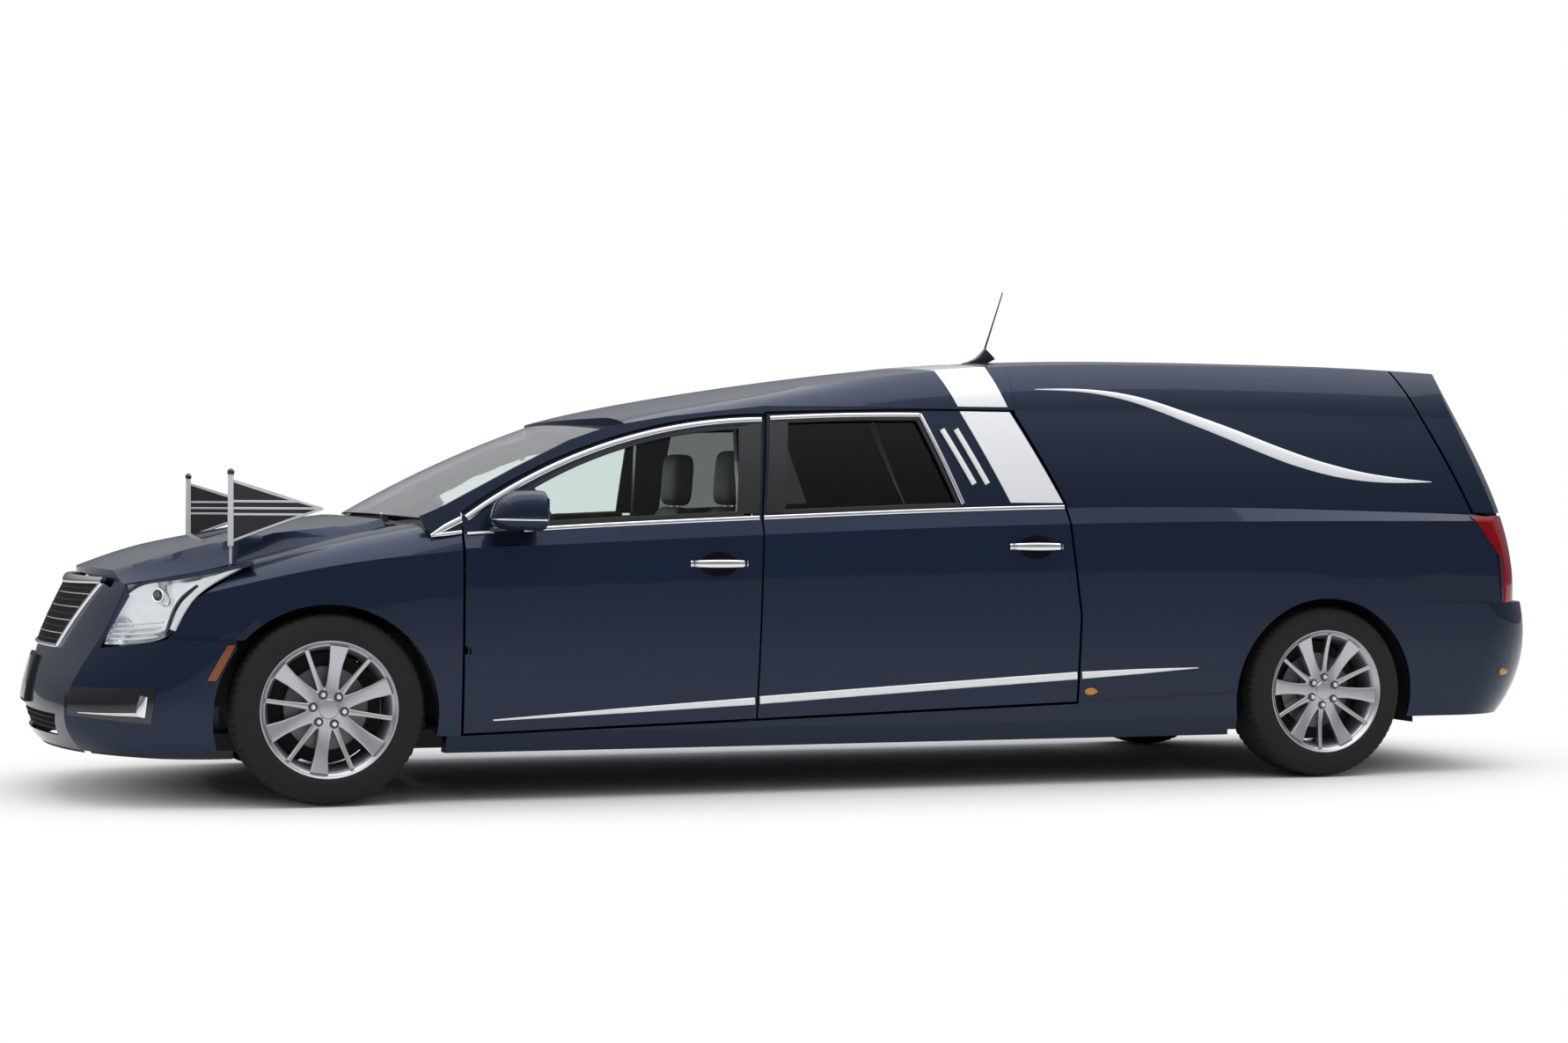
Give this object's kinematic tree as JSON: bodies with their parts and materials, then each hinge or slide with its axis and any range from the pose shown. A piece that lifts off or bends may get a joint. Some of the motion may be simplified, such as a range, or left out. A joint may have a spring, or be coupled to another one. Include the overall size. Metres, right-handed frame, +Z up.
{
  "type": "hearse",
  "caption": "Long coach-built hearse with hinged doors, hood and rear loading door, steered front wheels, a roller deck and fender flags.",
  "frame": {"origin": "on the ground at mid length and mid width", "axes": "+X towards the back of the car, +Y to its right, +Z up"},
  "size_m": [6.1993, 2.1796, 2.0135],
  "materials": {
    "body_paint": "gloss",
    "black_trim": "matte",
    "bright_trim": "polished",
    "alloy": "satin",
    "tyre": "matte",
    "glass": "clear",
    "tinted_glass": "dark",
    "lamp_clear": "clear",
    "lamp_red": "gloss",
    "under_steel": "matte",
    "under_paint": "matte",
    "seat_trim": "satin",
    "deck": "brushed",
    "flag": "satin",
    "dash": "matte"
  },
  "bodies": {
    "body": {"roof": "body_paint", "front_bumper": "body_paint", "rear_bumper": "body_paint", "body_side_left": "body_paint", "body_side_right": "body_paint", "fender_left": "body_paint", "fender_right": "body_paint", "cowl": "black_trim", "antenna": "black_trim", "arch_liners": "black_trim", "steering_wheel": "black_trim", "grille": "bright_trim", "windscreen": "glass", "headlamps": "lamp_clear", "tail_lamps": "lamp_red", "engine": "under_steel", "front_subframe": "under_steel", "rear_axle": "under_steel", "exhaust": "under_steel", "floor_pan": "under_paint", "front_structure": "under_paint", "fuel_tank": "under_paint", "seats": "seat_trim", "casket_deck": "deck", "flags": "flag", "dashboard": "dash"},
    "hood": {"hood": "body_paint"},
    "rear_door": {"rear_door": "body_paint", "rear_door_glass": "tinted_glass"},
    "door_front_left": {"door_front_left": "body_paint", "window_front_left": "glass", "mirror_left": "body_paint", "handle_front_left": "bright_trim"},
    "door_rear_left": {"door_rear_left": "body_paint", "window_rear_left": "tinted_glass", "handle_rear_left": "bright_trim"},
    "knuckle_left": {"knuckle_left": "under_steel"},
    "wheel_front_left": {"wheel_front_left": "alloy", "tyre_front_left": "tyre"},
    "wheel_rear_left": {"wheel_rear_left": "alloy", "tyre_rear_left": "tyre"},
    "door_front_right": {"door_front_right": "body_paint", "window_front_right": "glass", "mirror_right": "body_paint", "handle_front_right": "bright_trim"},
    "door_rear_right": {"door_rear_right": "body_paint", "window_rear_right": "tinted_glass", "handle_rear_right": "bright_trim"},
    "knuckle_right": {"knuckle_right": "under_steel"},
    "wheel_front_right": {"wheel_front_right": "alloy", "tyre_front_right": "tyre"},
    "wheel_rear_right": {"wheel_rear_right": "alloy", "tyre_rear_right": "tyre"}
  },
  "joints": [
    {"name": "steer_left", "type": "hinge", "parent": "body", "child": "knuckle_left", "pos_m": [-2.0865, -0.722, 0.351], "axis": [0, 0, 1], "range_deg": [-35, 35]},
    {"name": "spin_front_left", "type": "hinge", "parent": "knuckle_left", "child": "wheel_front_left", "pos_m": [-2.0865, -0.7885, 0.351], "axis": [0, 1, 0], "continuous": true},
    {"name": "spin_rear_left", "type": "hinge", "parent": "body", "child": "wheel_rear_left", "pos_m": [1.9685, -0.7885, 0.351], "axis": [0, 1, 0], "continuous": true},
    {"name": "door_front_left_hinge", "type": "hinge", "parent": "body", "child": "door_front_left", "pos_m": [-1.5825, -0.914, 0.7], "axis": [0, 0, -1], "range_deg": [0, 64]},
    {"name": "door_rear_left_hinge", "type": "hinge", "parent": "body", "child": "door_rear_left", "pos_m": [-0.4415, -0.914, 0.7], "axis": [0, 0, -1], "range_deg": [0, 64]},
    {"name": "steer_right", "type": "hinge", "parent": "body", "child": "knuckle_right", "pos_m": [-2.0865, 0.722, 0.351], "axis": [0, 0, 1], "range_deg": [-35, 35]},
    {"name": "spin_front_right", "type": "hinge", "parent": "knuckle_right", "child": "wheel_front_right", "pos_m": [-2.0865, 0.7885, 0.351], "axis": [0, 1, 0], "continuous": true},
    {"name": "spin_rear_right", "type": "hinge", "parent": "body", "child": "wheel_rear_right", "pos_m": [1.9685, 0.7885, 0.351], "axis": [0, 1, 0], "continuous": true},
    {"name": "door_front_right_hinge", "type": "hinge", "parent": "body", "child": "door_front_right", "pos_m": [-1.5825, 0.914, 0.7], "axis": [0, 0, 1], "range_deg": [0, 64]},
    {"name": "door_rear_right_hinge", "type": "hinge", "parent": "body", "child": "door_rear_right", "pos_m": [-0.4415, 0.914, 0.7], "axis": [0, 0, 1], "range_deg": [0, 64]},
    {"name": "hood_hinge", "type": "hinge", "parent": "body", "child": "hood", "pos_m": [-1.8365, 0, 1], "axis": [0, 1, 0], "range_deg": [0, 52]},
    {"name": "rear_door_hinge", "type": "hinge", "parent": "body", "child": "rear_door", "pos_m": [2.3535, 0, 1.707], "axis": [0, -1, 0], "range_deg": [0, 75]}
  ],
  "couplings": [
    {"joint": "steer_right", "follows": "steer_left", "ratio": 1}
  ]
}
